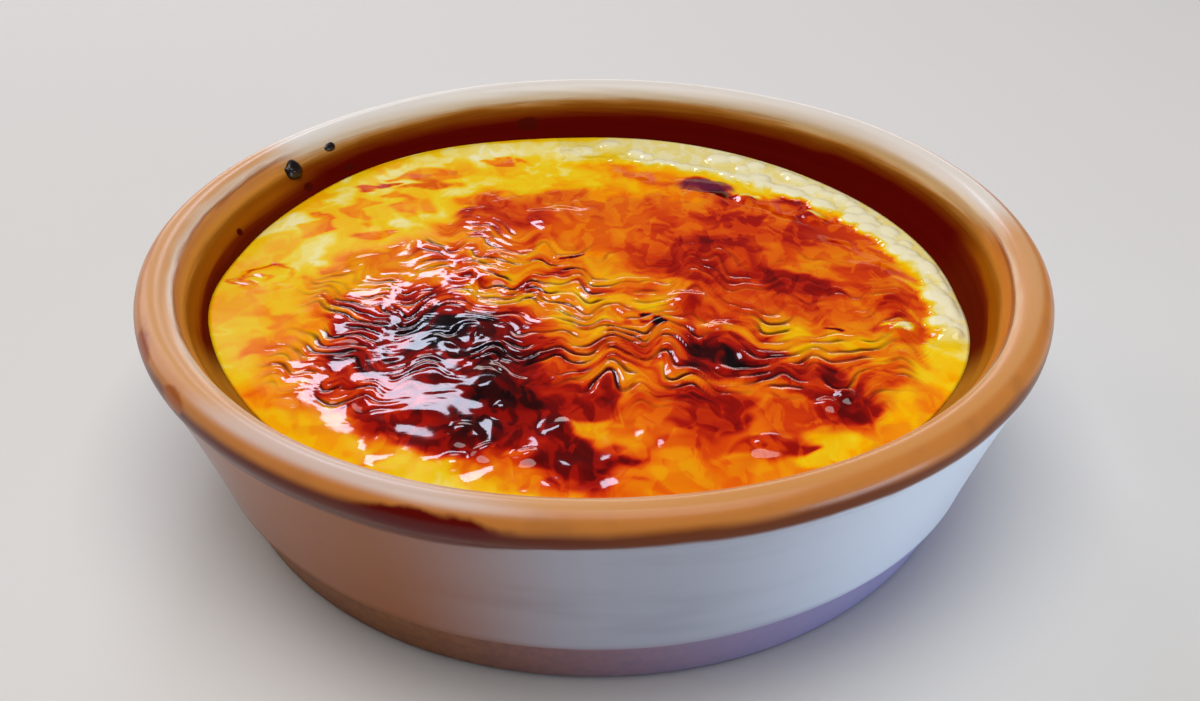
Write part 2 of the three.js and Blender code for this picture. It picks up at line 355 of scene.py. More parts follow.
def crust_relief(x, y, custard, dish):
    """Height of the crust above the table, without its folds."""
    level = custard.level / MM + LEVEL_SLOPE_X * x + LEVEL_SLOPE_Y * y
    from_wall = dish.mouth_radius / MM - np.hypot(x, y)
    inland = ease(from_wall / EDGE_WIDTH)
    swell = custard.swell / MM * noise(x / SWELL_LENGTH, y / SWELL_LENGTH, 31) * inland
    ragged = 0.07 * noise(x / 4, y / 4, 21) + 0.05 * noise(x / 9, y / 9, 22)
    sheet = custard.sugar / MM * ease((1 - reach(x, y, SHEET) + ragged) / SHEET_EDGE)
    drop = custard.edge_drop / MM * (1 - inland)
    return level + swell + sheet + blistered(x, y) + edge_swell(x, y, from_wall) - drop


def edge_swell(x, y, from_wall):
    """How far the custard's edge stands above its level, or below it."""
    bearing = np.degrees(np.arctan2(y, x))
    lift = np.zeros_like(x)
    for middle, spread, height in EDGE_SWELLS:
        away = np.abs((bearing - middle + 540) % 360 - 180)
        lift += height * ease(1 - away / spread)
    return lift * ease(1 - from_wall / EDGE_SWELL_WIDTH)


def blister(x, y, middle_x, middle_y, radius, height, sunk):
    wobble = 0.22 * radius
    u = x + wobble * noise(x / 2.7, y / 3.1, 41)
    v = y + wobble * noise(x / 3.1, y / 2.7, 42)
    d = np.hypot(u - middle_x, v - middle_y) / radius
    dome = np.clip(1 - d * d, 0, 1) ** 1.5
    pit = np.exp(-((d / 0.42) ** 2)) * (d < 1)
    return height * (dome - sunk * pit)


def blistered(x, y):
    """How far the blisters raise the skin."""
    return sum(blister(x, y, *sizes) for sizes in BLISTERS)


def fold_strength(x, y):
    strength = np.zeros_like(x)
    for *zone, most in FOLDED:
        strength = np.maximum(strength, most * ease(2.2 - 1.7 * reach(x, y, zone)))
    return strength


class Folds:
    """Folds in the skin, pinched narrowly between: ridges, or flat tops that lean their own ways."""

    def __init__(self, x, y, pitch, turn, whole, seed):
        self.pitch, self.turn, self.seed = pitch, turn, seed
        self.x = x
        self.phase = self.count(x, y)
        step = 0.2
        across = self.count(x + step, y) - self.count(x - step, y)
        away = self.count(x, y + step) - self.count(x, y - step)
        self.rate = np.maximum(np.hypot(across, away) / (2 * step), 0.1)
        # how whole each crease is along its length, and how bold
        self.whole = ease(whole + 1.9 * noise(x / 3.6, self.phase * 1.37 + 0.5, seed + 4))
        self.whole *= 0.45 + 0.55 * ease(0.7 + 1.4 * noise(x / 6, y / 4.5, seed + 7))
        # folds that crowd together fade out
        self.whole *= 1 - 0.85 * ease((self.rate * pitch - 1.5) / 1.2)

    def count(self, x, y):
        """How many folds lie in front of each point."""
        u, v = turned(x, y, self.turn)
        crumpled = ease(1.7 - reach(x, y, CRUMPLED))
        wander = (
            3.4 * noise(u / 14, v / 15, self.seed)
            + 3.0 * noise(u / 5.0, v / 12, self.seed + 1)
            + 2.2 * noise(u / 4.0, v / 8.5, self.seed + 2)
            + 1.6 * noise(u / 2.3, v / 5.5, self.seed + 3)
            + 0.8 * crumpled * noise(u / 3.4, v / 3.2, self.seed + 6)
        )
        return (v + wander) / self.pitch

    def relief(self, custard, flat):
        part = self.phase - np.floor(self.phase)
        off_crease = (0.5 - np.abs(part - 0.5)) / self.rate
        pinch = np.exp(-((off_crease / (custard.crease_width / MM)) ** 2))
        lean = 0.13 * noise(self.x / 3.4, np.floor(self.phase) * 1.7 + 0.5, self.seed + 5)
        flat_top = custard.fold_height / MM * (1 - np.abs(2 * part - 1) ** 3)
        # a ridge climbs slowly from the front and falls more steeply behind
        rise, fall, blunt = 0.58, 0.42, 0.12
        ridge = -blunt * np.logaddexp(-part / rise / blunt, -(1 - part) / fall / blunt)
        top = flat * flat_top + (1 - flat) * custard.ridge_height / MM * ridge
        leaning = lean * np.clip((part - 0.5) / self.rate, -2, 2) * (1 - pinch)
        return self.whole * (top - custard.crease_depth / MM * pinch) + leaning


def lumps(x, y, strength):
    """Low dimples where the skin is folded, crumples where it is burnt, and drops along the front."""
    front = ease((-y - 32) / 6) * ease((x + 32) / 8)
    crumpled = ease(1.6 - reach(x, y, CRUMPLED))
    bent = x + 0.7 * noise(x / 3, y / 3, 55)
    dimples = (0.05 + 0.10 * crumpled) * noise(bent / 3.4, y / 3.0, 57)
    dimples += (0.02 + 0.03 * crumpled) * noise(bent / 1.9, y / 1.8, 56)
    waves = 0.06 * noise(x / 3.4, y / 5, 58)
    return waves + strength * dimples + front * 0.17 * noise(bent / 2.4, y / 2.9, 59)


def toast(x, y, phase, strength):
    """How far the surface is toasted at each point. Its patches run out along the folds."""
    u = x + 2.6 * noise(x / 9, phase * 0.9, 61) + 1.5 * noise(x / 3, phase * 1.6, 62)
    v = y + 1.7 * noise(x / 6, y / 5, 63) + 0.9 * noise(x / 2.6, y / 1.6, 64)
    level = np.zeros_like(x)
    for *zone, burn, softness in TOASTED:
        cover = ease((1 + softness / 2 - reach(u, v, zone)) / softness)
        level += (burn - level) * cover
    loose = 0.7 * crisp(noise(u / 5.0, v / 8, 65)) + 0.3 * crisp(noise(u / 2.4, v / 4.2, 66))
    loose *= 1 - 0.5 * ease((level - 0.3) / 0.15)
    drawn = 0.6 * crisp(noise(u / 5.5, phase * 0.9, 67)) + 0.4 * crisp(noise(u / 2.4, phase * 1.9, 68))
    swing = 0.14 * (0.5 + level) * (1 - 0.5 * ease((level - 0.5) / 0.3)) * ease(level / 0.15)
    return level + swing * (loose * (1 - strength) + drawn * strength)


def margin_inner(bearing):
    """Radius where the froth ends and the caramel begins."""
    return 50.6 - 6.4 * ease((bearing + 8) / 78)


def margin(x, y):
    """The froth: how far it covers, and how high its beads stand."""
    radius, bearing = np.hypot(x, y), np.degrees(np.arctan2(y, x))
    along = ease((bearing - MARGIN_START) / MARGIN_FADE_IN) * ease((MARGIN_END - bearing) / MARGIN_FADE_OUT)
    inner = margin_inner(bearing) + 0.9 * noise(bearing / 3, 0 * bearing, 72)
    cover = along * ease((radius - inner) / 1.4 + 0.5)
    beads = np.zeros_like(x)
    for k in range(MARGIN_BEADS):
        at = MARGIN_START + (MARGIN_END - MARGIN_START) * (k + 0.5 + 0.5 * lattice(k, 0, 73)) / MARGIN_BEADS
        room = MARGIN_OUTER - margin_inner(at)
        out = margin_inner(at) + room * (0.1 if k % 2 else 0.5 + 0.4 * lattice(k, 1, 73))
        size = 1.8 + 0.7 * lattice(k, 2, 73)
        turn = math.radians(at)
        far = np.hypot(x - out * math.cos(turn), y - out * math.sin(turn)) / size
        beads = np.maximum(beads, np.sqrt(np.clip(1 - far * far, 0, 1)) * size / 2)
    return cover, beads * along


# -------- modelling helpers
def deselect_all():
    if bpy.context.object and bpy.context.object.mode != "OBJECT":
        bpy.ops.object.mode_set(mode="OBJECT")
    bpy.ops.object.select_all(action="DESELECT")


def finish_piece(piece, name, slot, *nodes):
    """Names a modelled piece and ties it to the frame."""
    piece.name = name
    piece.data.name = name
    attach(piece, "root")
    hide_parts(*nodes)


def grid_of(mesh):
    """The vertices' places as an array in millimetres."""
    places = np.empty(len(mesh.vertices) * 3)
    mesh.vertices.foreach_get("co", places)
    return places.reshape(-1, 3) / MM


def put_grid(mesh, places):
    mesh.vertices.foreach_set("co", (places * MM).ravel())
    mesh.update()


def store(mesh, name, values):
    layer = mesh.attributes.new(name, "FLOAT", "POINT")
    layer.data.foreach_set("value", np.asarray(values, dtype=np.float32))


def arc(centre, radius, start, end, steps):
    angles = [start + (end - start) * i / steps for i in range(steps + 1)]
    return [(centre[0] + radius * math.cos(a), centre[1] + radius * math.sin(a)) for a in angles]


def bend(start, control, end, steps):
    """Points of a quadratic curve, without its first."""
    points = []
    for i in range(1, steps + 1):
        t = i / steps
        weights = ((1 - t) ** 2, 2 * t * (1 - t), t * t)
        points.append(tuple(sum(w * p[k] for w, p in zip(weights, (start, control, end))) for k in (0, 1)))
    return points


def straight(start, end, steps):
    return bend(start, ((start[0] + end[0]) / 2, (start[1] + end[1]) / 2), end, steps)


# -------- material helpers
class Graph:
    """A material's nodes, laid out left to right as they are added."""

    def __init__(self, name):
        self.material = bpy.data.materials.new(name)
        self.material.use_nodes = True
        self.nodes = self.material.node_tree.nodes
        self.links = self.material.node_tree.links
        self.shader = self.nodes["Principled BSDF"]
        self.count = 0

    def add(self, kind, **settings):
        node = self.nodes.new(kind)
        node.location = (-2400 + 190 * (self.count // 4), 300 - 240 * (self.count % 4))
        self.count += 1
        for key, value in settings.items():
            setattr(node, key, value)
        return node

    def feed(self, socket, value):
        if hasattr(value, "is_output"):
            self.links.new(value, socket)
        elif isinstance(value, (tuple, list)) and len(value) == 3 and socket.type == "RGBA":
            socket.default_value = (*value, 1.0)
        else:
            socket.default_value = value

    def math(self, operation, *values):
        node = self.add("ShaderNodeMath", operation=operation)
        for socket, value in zip(node.inputs, values):
            self.feed(socket, value)
        return node.outputs[0]

    def times(self, first, second):
        return self.math("MULTIPLY", first, second)

    def weigh(self, value, weight, rest):
        """The value times its weight, with the rest added."""
        return self.math("MULTIPLY_ADD", value, weight, rest)

    def step(self, value, low, high):
        """0 below low, 1 above high, smooth between."""
        node = self.add("ShaderNodeMapRange", interpolation_type="SMOOTHSTEP")
        for key, item in (("Value", value), ("From Min", low), ("From Max", high)):
            self.feed(node.inputs[key], item)
        return node.outputs[0]

    def blend(self, factor, first, second, how="MIX"):
        node = self.add("ShaderNodeMix", data_type="RGBA", blend_type=how)
        self.feed(node.inputs[0], factor)
        self.feed(node.inputs[6], first)
        self.feed(node.inputs[7], second)
        return node.outputs[2]

    def ramp(self, factor, stops):
        node = self.add("ShaderNodeValToRGB")
        items = node.color_ramp.elements
        while len(items) < len(stops):
            items.new(1.0)
        for item, (place, shade) in zip(items, stops):
            item.position = place
            item.color = (*shade_of(*shade), 1.0)
        self.feed(node.inputs[0], factor)
        return node.outputs[0]

    def place(self):
        return self.add("ShaderNodeTexCoord").outputs["Object"]

    def split(self, vector):
        node = self.add("ShaderNodeSeparateXYZ")
        self.feed(node.inputs[0], vector)
        return node.outputs

    def stretch(self, vector, x, y, z):
        node = self.add("ShaderNodeMapping")
        self.feed(node.inputs["Vector"], vector)
        node.inputs["Scale"].default_value = (x, y, z)
        return node.outputs[0]

    def cloud(self, vector, scale, detail=2.0, distortion=0.0):
        node = self.add("ShaderNodeTexNoise")
        self.feed(node.inputs["Vector"], vector)
        node.inputs["Scale"].default_value = scale
        node.inputs["Detail"].default_value = detail
        node.inputs["Distortion"].default_value = distortion
        return node.outputs[0]

    def spot(self, vector, middle, size, ragged):
        """1 inside an ellipsoid given in millimetres, 0 outside it."""
        node = self.add("ShaderNodeMapping")
        self.feed(node.inputs["Vector"], vector)
        node.inputs["Scale"].default_value = [1 / (part * MM) for part in size]
        node.inputs["Location"].default_value = [-m / part for m, part in zip(middle, size)]
        far = self.add("ShaderNodeVectorMath", operation="LENGTH")
        self.feed(far.inputs[0], node.outputs[0])
        return self.step(self.math("ADD", far.outputs["Value"], ragged), 1.2, 0.75)

    def attribute(self, name):
        return self.add("ShaderNodeAttribute", attribute_name=name).outputs["Fac"]

    def bump(self, height, distance):
        node = self.add("ShaderNodeBump")
        node.inputs["Distance"].default_value = distance
        node.inputs["Strength"].default_value = 1.0
        self.feed(node.inputs["Height"], height)
        self.feed(self.shader.inputs["Normal"], node.outputs[0])

    def finish(self, **values):
        for key, value in values.items():
            self.feed(self.shader.inputs[key.replace("_", " ").title().replace("Ior", "IOR")], value)
        return self.material


# Caramel burnt on to the dish: middle, half sizes, colour.
BURNT_SPOT = (74, 14, 6)
STAINS = (
    ((-18.0, -62.5, 31.2), (10.5, 4.0, 1.4), (98, 5, 0)),
    ((-57.0, -30.0, 32.2), (2.4, 4.6, 1.3), (156, 72, 24)),
    ((-50.0, -41.0, 31.8), (2.2, 3.4, 1.1), (168, 88, 28)),
    ((-12.8, 55.4, 27.2), (2.4, 2.0, 1.1), BURNT_SPOT),
    ((-43.4, 36.4, 26.9), (0.9, 0.9, 0.6), BURNT_SPOT),
    ((-49.0, 28.3, 26.8), (1.0, 1.0, 0.6), BURNT_SPOT),
    ((-56.0, 10.4, 27.4), (0.8, 0.8, 0.6), BURNT_SPOT),
)

# Radius that parts the inner side of the dish from the outer: at the table, and its gain with height.
INNER_RADIUS, INNER_FLARE = 52.4, 0.32


def wall_glaze(g, dish, place, uneven):
    """The outer wall's glaze, browner to the left and whiter to the right: painted reflection of warm
    surroundings on the left, and painted light from the blue lamp on the right.
    """
    x = g.split(place)[0]
    wall = tuple(dish.glaze)
    streak = g.cloud(g.stretch(place, 1, 1, 5), 45, 3)
    outer = g.blend(g.step(streak, 0.45, 0.75), wall, tuple(0.86 * part for part in wall))
    # painted warm reflection on the left of the wall
    warm_reflection = g.times(g.step(g.math("ADD", x, uneven), 2 * MM, -26 * MM), g.step(x, -60 * MM, -40 * MM))
    outer = g.blend(g.times(warm_reflection, 0.97), outer, shade_of(164, 86, 14))
    # painted light from the blue lamp on the right of the wall
    return g.blend(g.step(x, 6 * MM, 42 * MM), outer, shade_of(232, 241, 255))


def bare_clay(g, dish, place):
    """The foot's clay, lilac-grey to the right: partly the clay's own tone, partly painted reflection of the
    blue lamp on that side.
    """
    x = g.split(place)[0]
    clay = tuple(dish.clay)
    grain = g.cloud(place, 700, 4)
    foot = g.blend(g.step(grain, 0.35, 0.7), clay, tuple(0.75 * part for part in clay))
    # lilac to the right: partly clay tone, partly painted reflection of the blue lamp
    return g.blend(g.step(x, -26 * MM, 44 * MM), foot, shade_of(158, 152, 196))


def lip_glaze(g, dish, place, uneven, height, front_left):
    """The lip's glaze, pale at the back, partly pale glaze and partly painted reflection, and brown on its
    outer face below the crest, partly glaze gathered there and partly painted shade where the lip turns
    under.
    """
    x, y = g.split(place)[:2]
    backness = g.step(g.weigh(uneven, 3.0, g.weigh(x, -0.1, y)), 22 * MM, 44 * MM)
    mottle = g.cloud(place, 150, 3)
    lip = g.blend(g.step(x, -52 * MM, -30 * MM), tuple(dish.lip), shade_of(202, 125, 57))
    lip = g.blend(g.times(g.step(mottle, 0.5, 0.75), 0.3), lip, shade_of(150, 92, 52))
    # pale at the back: partly pale glaze, partly painted reflection
    lip = g.blend(backness, lip, tuple(dish.lip_back_glaze_and_reflection))
    # brown under the lip's roll: partly glaze gathered there, partly painted shade
    pooled_and_shaded = g.step(height, dish.height - 1.2 * MM, dish.height - 2.4 * MM)
    brown = g.blend(g.step(front_left, 54 * MM, 62 * MM), shade_of(116, 50, 2), shade_of(104, 32, 0))
    return g.blend(pooled_and_shaded, lip, g.blend(backness, brown, shade_of(150, 96, 56)))


# Shades down the inner wall at the sides, and behind: height in millimetres, colour. They are partly the
# glaze's colour and partly painted light.
SIDE_BANDS = (
    # low on the wall, dark maroon: partly the glaze's dark colour, partly painted shade
    (26.6, (92, 22, 4)),
    (27.3, (114, 36, 5)),
    (28.0, (152, 80, 7)),
    (28.8, (152, 84, 10)),
    (29.5, (164, 100, 24)),
    (30.3, (206, 136, 54)),
    (31.5, (212, 144, 80)),
    # a darker band in the hollow under the lip's roll: partly glaze gathered there, partly painted shade
    (32.1, (166, 104, 60)),
    # a pale band: partly glaze, partly painted highlight
    (32.5, (222, 196, 172)),
    (33.1, (212, 156, 104)),
)
BACK_BANDS = (
    # low on the back wall: partly the glaze's dark colour, partly painted shade
    (27.9, (86, 8, 3)),
    (28.5, (106, 33, 4)),
    (29.2, (124, 58, 7)),
    (29.9, (142, 84, 22)),
    (30.5, (180, 128, 68)),
    # pale near the lip at the back: partly pale glaze, partly painted reflection
    (31.2, (222, 202, 172)),
    (33.0, (226, 218, 209)),
)
BANDS_LOW, BANDS_HIGH = 22.0, 34.0


def inner_glaze(g, place, uneven):
    """The inner wall's glaze, in bands that run round the dish, darker down to the custard: partly the
    glaze's colour, partly painted shade low on the wall, and painted highlight and reflection in the pale
    bands near the lip.
    """
    x, y, z = g.split(place)
    ringed = g.cloud(g.stretch(place, 0.35, 0.35, 9), 90, 4, 0.6)
    banded = g.weigh(ringed, 2.0 * MM, -1.0 * MM)
    depth = g.math("ADD", g.weigh(uneven, 0.4, z), banded)
    span = BANDS_HIGH - BANDS_LOW
    down = g.weigh(depth, 1 / (span * MM), -BANDS_LOW / span)
    side, back = (
        g.ramp(down, [((at - BANDS_LOW) / span, shade) for at, shade in bands])
        for bands in (SIDE_BANDS, BACK_BANDS)
    )
    paleness = g.step(g.weigh(uneven, 2.0, g.weigh(x, 0.22, y)), 10 * MM, 24 * MM)
    inner = g.blend(paleness, side, back)
    golden = g.times(g.step(x, -15 * MM, 20 * MM), g.step(z, 29.6 * MM, 30.6 * MM))
    golden = g.times(golden, g.step(g.weigh(y, 0.03, z), 33.4 * MM, 32.0 * MM))
    inner = g.blend(golden, inner, (0.97, 0.85, 0.60), "MULTIPLY")
    in_front = g.times(g.step(y, -20 * MM, -32 * MM), g.step(z, 30.5 * MM, 28.5 * MM))
    return g.blend(in_front, inner, shade_of(172, 112, 30))


def glaze_material(dish, name, **gloss):
    """Off-white glaze outside, tan on the lip, brown inside, over a foot of bare clay."""
    g = Graph(name)
    place = g.place()
    x, y, z = g.split(place)
    radius = g.math("SQRT", g.math("ADD", g.times(x, x), g.times(y, y)))
    front_left = g.weigh(x, -0.45, g.times(y, -0.89))
    soft = g.cloud(g.stretch(place, 1, 1, 2), 60, 3)
    uneven = g.weigh(soft, 3 * MM, -1.5 * MM)
    height = g.weigh(uneven, 0.5, z)

    foot_edge = g.step(height, dish.foot_height + 1.6 * MM, dish.foot_height - 0.8 * MM)
    glaze = g.blend(foot_edge, wall_glaze(g, dish, place, uneven), bare_clay(g, dish, place))
    # the lip's colour, with its painted shade under the roll, reaches lower on the wall at the front left
    lip_foot = g.weigh(g.step(front_left, 57 * MM, 63 * MM), -1.6 * MM, dish.height - 3.9 * MM)
    on_lip = g.step(height, lip_foot, g.math("ADD", lip_foot, 0.8 * MM))
    glaze = g.blend(on_lip, glaze, lip_glaze(g, dish, place, uneven, height, front_left))
    divide = g.weigh(z, INNER_FLARE, INNER_RADIUS * MM)
    inside = g.step(g.math("SUBTRACT", divide, radius), -0.5 * MM, 0.6 * MM)
    inside = g.times(inside, g.step(z, 3 * MM, 5 * MM))
    glaze = g.blend(inside, glaze, inner_glaze(g, place, uneven))

    # painted highlight: the top of the lip is paler at the front left
    on_top = g.times(g.step(z, 31.4 * MM, 32.2 * MM), g.step(radius, 64.3 * MM, 63.2 * MM))
    pale = g.times(g.step(front_left, 57.5 * MM, 62 * MM), on_top)
    glaze = g.blend(g.times(pale, 0.85), glaze, shade_of(212, 190, 180))

    frayed = g.weigh(g.cloud(place, 230, 3), 1.2, -0.6)
    for middle, size, shade in STAINS:
        glaze = g.blend(g.spot(place, middle, size, frayed), glaze, shade_of(*shade))

    g.bump(g.cloud(place, 260, 2), 0.03 * MM)
    rough = g.weigh(g.times(foot_edge, g.step(z, 12 * MM, 9 * MM)), 0.28, 0.28)
    return g.finish(base_color=glaze, roughness=rough, **gloss)


def crust_material(name, **gloss):
    """Caramel over custard: cream where it is plain, through yellow and orange to burnt black."""
    g = Graph(name)
    place = g.place()
    phase = g.attribute("fold_phase")
    drawn_out = g.add("ShaderNodeCombineXYZ")
    g.feed(drawn_out.inputs[0], g.times(g.split(place)[0], 0.3 / MM))
    g.feed(drawn_out.inputs[1], g.times(phase, 1.1))
    strokes = g.step(g.cloud(drawn_out.outputs[0], 1.0, 2, 0.7), 0.44, 0.54)
    blobs = g.step(g.cloud(g.stretch(place, 1, 0.6, 1), 0.36 / MM, 2, 0.7), 0.44, 0.54)
    folded = g.attribute("folded")
    patches = g.math("ADD", g.times(strokes, folded), g.times(blobs, g.math("SUBTRACT", 1.0, folded)))
    toast = g.attribute("toast")
    swing = g.times(g.math("SUBTRACT", patches, 0.5), g.weigh(toast, 0.10, 0.03))
    # each fold is paler towards its back edge: partly less caramel there, partly a painted highlight where
    # that edge catches the light
    along = g.math("FRACT", phase)
    thin_caramel_and_sheen = g.times(g.step(along, 0.45, 0.75), g.step(along, 0.98, 0.85))
    crease = g.attribute("fold_crease")
    creased_caramel_and_sheen = g.times(thin_caramel_and_sheen, crease)
    level = g.weigh(creased_caramel_and_sheen, -0.11, g.math("ADD", toast, swing))
    shade = g.ramp(
        level,
        (
            (0.00, (244, 238, 200)),
            (0.07, (240, 222, 122)),
            (0.14, (240, 204, 26)),
            (0.27, (243, 178, 3)),
            (0.38, (244, 148, 3)),
            (0.50, (238, 106, 2)),
            (0.60, (218, 62, 2)),
            (0.70, (174, 20, 3)),
            (0.80, (120, 5, 3)),
            (0.90, (64, 3, 3)),
            (1.00, (18, 3, 6)),
        ),
    )
    scorched = g.spot(place, (20.0, 34.0, 25.5), (5.0, 3.0, 5.0), g.weigh(patches, 0.3, -0.1))
    shade = g.blend(g.times(scorched, 0.75), shade, shade_of(96, 30, 62))
    from_middle = g.math("ABSOLUTE", g.math("SUBTRACT", along, 0.5))
    off_crease = g.math("DIVIDE", g.math("SUBTRACT", 0.5, from_middle), g.attribute("fold_rate"))
    # creases darkened: partly caramel gathered and burnt in them, partly painted shade
    dark = g.times(g.step(off_crease, 0.6, 0.15), crease)
    shade = g.blend(dark, shade, (0.10, 0.02, 0.02), "MULTIPLY")
    g.bump(g.cloud(g.stretch(place, 1, 1.4, 1), 700, 1), 0.01 * MM)
    return g.finish(base_color=shade, **gloss)


def burnt_sugar_material():
    g = Graph("burnt_sugar")
    grain = g.cloud(g.place(), 900, 2)
    tone = g.blend(grain, (0.004, 0.003, 0.005), (0.02, 0.008, 0.006))
    g.bump(grain, 0.05 * MM)
    return g.finish(base_color=tone, roughness=0.3)


# -------- the dish
def flare_radius(height, dish):
    """Radius of the flared part of the inner wall."""
    return dish.mouth_radius + dish.flare * (height - dish.mouth_height)


def upright_radius(height, dish):
    """Radius of the inner wall below the knee."""
    return flare_radius(dish.knee_height, dish) + dish.wall_lean * (height - dish.knee_height)


def dish_outline(dish):
    """Half of the dish's section, from the middle of the underside to the middle of the floor."""
    base = (dish.base_radius - dish.base_rounding, 0.0)
    heel = (dish.base_radius + 0.2 * MM, dish.base_rounding)
    foot_top = (dish.foot_top_radius, dish.foot_height)
    step = (dish.foot_top_radius + dish.glaze_step, dish.foot_height + dish.glaze_rounding)
    lip_centre = (dish.rim_radius - dish.lip_radius, dish.height - dish.lip_radius)
    wall_top = (dish.rim_radius - dish.lip_undercut, lip_centre[1] - 0.55 * dish.lip_radius)
    middle = ((step[0] + wall_top[0]) / 2 - dish.wall_hollow, (step[1] + wall_top[1]) / 2)
    lip = arc(lip_centre, dish.lip_radius, math.radians(-20), dish.lip_end, 36)
    # the lip rolls over inside and hollows into the flare, meeting it where the two tangents cross
    rolled_radius, rolled_height = lip[-1]
    short = flare_radius(rolled_height, dish) - rolled_radius
    meet = rolled_height - short / (dish.flare + math.tan(dish.lip_end))
    blend_end = (flare_radius(dish.lip_blend_height, dish), dish.lip_blend_height)

    knee = (upright_radius(dish.knee_height, dish), dish.knee_height)
    knee_top, knee_bottom = dish.knee_height + dish.knee_rounding, dish.knee_height - dish.knee_rounding
    floor = dish.floor_thickness
    corner_height = floor + dish.floor_rounding
    corner_top = (upright_radius(corner_height, dish), corner_height)
    corner_end = (upright_radius(floor, dish) - dish.floor_rounding, floor)

    points = [(0.0, 0.0)]
    points += straight(points[-1], base, 6)
    points += bend(base, (dish.base_radius, 0.0), heel, 6)
    points += straight(heel, foot_top, 18)
    points += bend(foot_top, (step[0] - 0.05 * MM, foot_top[1] + 0.1 * MM), step, 6)
    points += bend(step, middle, wall_top, 36)
    points += bend(wall_top, (lip[0][0] - 0.15 * MM, lip[0][1] - 0.35 * MM), lip[0], 4)
    points += lip[1:]
    points += bend(lip[-1], (flare_radius(meet, dish), meet), blend_end, 16)
    points += straight(blend_end, (flare_radius(knee_top, dish), knee_top), 14)
    points += bend(points[-1], knee, (upright_radius(knee_bottom, dish), knee_bottom), 6)
    points += straight(points[-1], corner_top, 6)
    points += bend(corner_top, (upright_radius(floor, dish), floor), corner_end, 8)
    points += straight(corner_end, (0.0, floor), 6)
    return points


def turn_on_wheel(outline, steps):
    """Extrudes a vertex along the outline and spins it round the Z axis into a closed solid."""
    deselect_all()
    bpy.ops.mesh.primitive_plane_add(size=MM, location=(0, 0, 0))
    bpy.ops.object.mode_set(mode="EDIT")
    bpy.ops.mesh.select_all(action="SELECT")
    bpy.ops.mesh.merge(type="CENTER")
    for (r0, z0), (r1, z1) in zip(outline, outline[1:]):
        bpy.ops.mesh.extrude_region_move(TRANSFORM_OT_translate={"value": (r1 - r0, 0, z1 - z0)})
    bpy.ops.mesh.select_all(action="SELECT")
    bpy.ops.mesh.spin(steps=steps, angle=2 * math.pi, center=(0, 0, 0), axis=(0, 0, 1))
    bpy.ops.mesh.select_all(action="SELECT")
    bpy.ops.mesh.remove_doubles(threshold=0.02 * MM)
    bpy.ops.mesh.normals_make_consistent(inside=False)
    bpy.ops.object.mode_set(mode="OBJECT")
    return bpy.context.object


def thrown(bearing, z, inside):
    """How far a wall stands out from its true radius, as a potter's hand leaves it, in millimetres."""
    across, away = np.cos(bearing), np.sin(bearing)
    wobble = 0.12 * noise(3 * across + z / 14, 3 * away, 81)
    ridges = 0.06 * np.sin(z * 2.9 + 0.8 * away) + 0.05 * noise(6 * across + z * 1.6, 6 * away, 82)
    return wobble + np.where(inside, ridges, 0)


def on_inner_side(x, y, z):
    """Whether a place in millimetres is on the dish's inner side."""
    return np.hypot(x, y) < INNER_RADIUS + INNER_FLARE * z


def throw_marks(places):
    """Moves a turned wall a little."""
    x, y, z = places.T
    bearing = np.arctan2(y, x)
    wall = thrown(bearing, z, on_inner_side(x, y, z) & (z > 8))
    swing = 1 + wall / np.maximum(np.hypot(x, y), 30)
    lift = 0.12 * noise(3 * np.cos(bearing), 3 * np.sin(bearing), 83) * ease((z - 20) / 8)
    return np.column_stack((x * swing, y * swing, z + lift))


class CREMEBRULEE_OT_dish(bpy.types.Operator):
    """Turn the stoneware dish on the wheel and glaze it"""

    bl_idname = "creme_brulee.dish"
    bl_label = "Make Dish"

    def execute(self, context):
        dish = context.scene.brulee_dish
        piece = turn_on_wheel(dish_outline(dish), dish.around)
        put_grid(piece.data, throw_marks(grid_of(piece.data)))
        piece.data.materials.append(
            glaze_material(dish, "stoneware", specular_ior_level=0.25, coat_weight=0.06, coat_roughness=0.12)
        )
        piece.data.materials.append(glaze_material(dish, "scorched_glaze", specular_ior_level=0.0))
        for face in piece.data.polygons:
            x, y, z = face.center / MM
            face.material_index = int(on_inner_side(x, y, z) and 6 < z < 32)
        bpy.ops.object.shade_smooth_by_angle(angle=math.radians(50))
        finish_piece(piece, "dish_glazed", "stoneware", "dish")
        return {"FINISHED"}


# Burnt sugar that spat on the flare: bearing in degrees, then height above the table, length, width.
SPATTER = (
    (150.8, 29.8, 3.8, 3.4),
    (141.8, 30.6, 2.7, 2.0),
    (175, 32, 0.9, 0.8),
)
BEAD_THICKNESS = 0.65  # as a share of a bead's width


